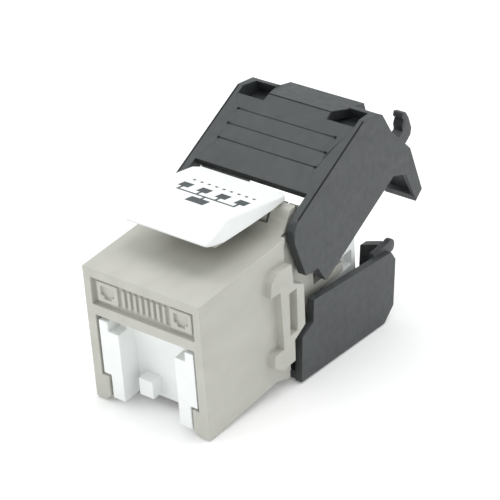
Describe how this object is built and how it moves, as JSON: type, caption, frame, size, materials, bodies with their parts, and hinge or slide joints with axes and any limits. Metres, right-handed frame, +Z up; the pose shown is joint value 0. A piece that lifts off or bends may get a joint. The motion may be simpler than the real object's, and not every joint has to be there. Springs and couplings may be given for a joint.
{
  "type": "keystone network jack",
  "caption": "Tool-less network jack: grey keystone body with a spring dust shutter, a snap latch with a white cap, and two hinged black cable jaws around a sliding wire holder.",
  "frame": {"origin": "on the centre plane of the housing's flat underside, 12.5 mm behind the port face", "axes": "+Y from the port to the cable end, +Z up through the latch, +X to the right as seen from the port"},
  "size_m": [0.0164, 0.0396, 0.0265],
  "materials": {
    "warm_grey": "satin moulded",
    "white": "satin moulded",
    "black": "fine satin moulded",
    "board": "solder mask",
    "gold": "gold plated",
    "tinned": "tin plated bronze",
    "steel": "spring wire"
  },
  "bodies": {
    "housing": {"front_housing": "warm_grey", "rear_housing": "warm_grey", "contact_carrier": "white", "contact_wire_1": "gold", "contact_wire_2": "gold", "contact_wire_3": "gold", "contact_wire_4": "gold", "contact_wire_5": "gold", "contact_wire_6": "gold", "contact_wire_7": "gold", "contact_wire_8": "gold", "circuit_board": "board", "upper_terminal_block": "white", "lower_terminal_block": "white", "upper_blade_1": "tinned", "upper_blade_2": "tinned", "upper_blade_3": "tinned", "upper_blade_4": "tinned", "lower_blade_1": "tinned", "lower_blade_2": "tinned", "lower_blade_3": "tinned", "lower_blade_4": "tinned", "shutter_spring": "steel"},
    "latch": {"latch_arm": "warm_grey", "latch_plate": "white"},
    "shutter": {"shutter": "white"},
    "upper_jaw": {"upper_jaw": "black"},
    "lower_jaw": {"lower_jaw": "black"},
    "wire_holder": {"wire_manager": "white"}
  },
  "joints": [
    {"name": "latch_flex", "type": "hinge", "parent": "housing", "child": "latch", "pos_m": [0, 0.0039, 0.0166], "axis": [1, 0, 0], "range_deg": [0, 10], "stiffness_Nm_per_rad": 0.3},
    {"name": "shutter_hinge", "type": "hinge", "parent": "housing", "child": "shutter", "pos_m": [0, -0.0104, 0.00115], "axis": [1, 0, 0], "range_deg": [-86, 0], "stiffness_Nm_per_rad": 0.0005, "springref_deg": 20.05, "deforming": ["shutter_spring"]},
    {"name": "upper_jaw_hinge", "type": "hinge", "parent": "housing", "child": "upper_jaw", "pos_m": [0, 0.00522, 0.01295], "axis": [1, 0, 0], "range_deg": [-24, 0]},
    {"name": "lower_jaw_hinge", "type": "hinge", "parent": "housing", "child": "lower_jaw", "pos_m": [0, 0.00407, 0.00318], "axis": [1, 0, 0], "range_deg": [-5, 7.08]},
    {"name": "wire_holder_slide", "type": "slide", "parent": "housing", "child": "wire_holder", "axis": [0, -1, 0], "range_m": [0, 0.0019]}
  ],
  "couplings": [
    {"joint": "wire_holder_slide", "follows": "upper_jaw_hinge", "m_per_rad": -0.0045}
  ]
}
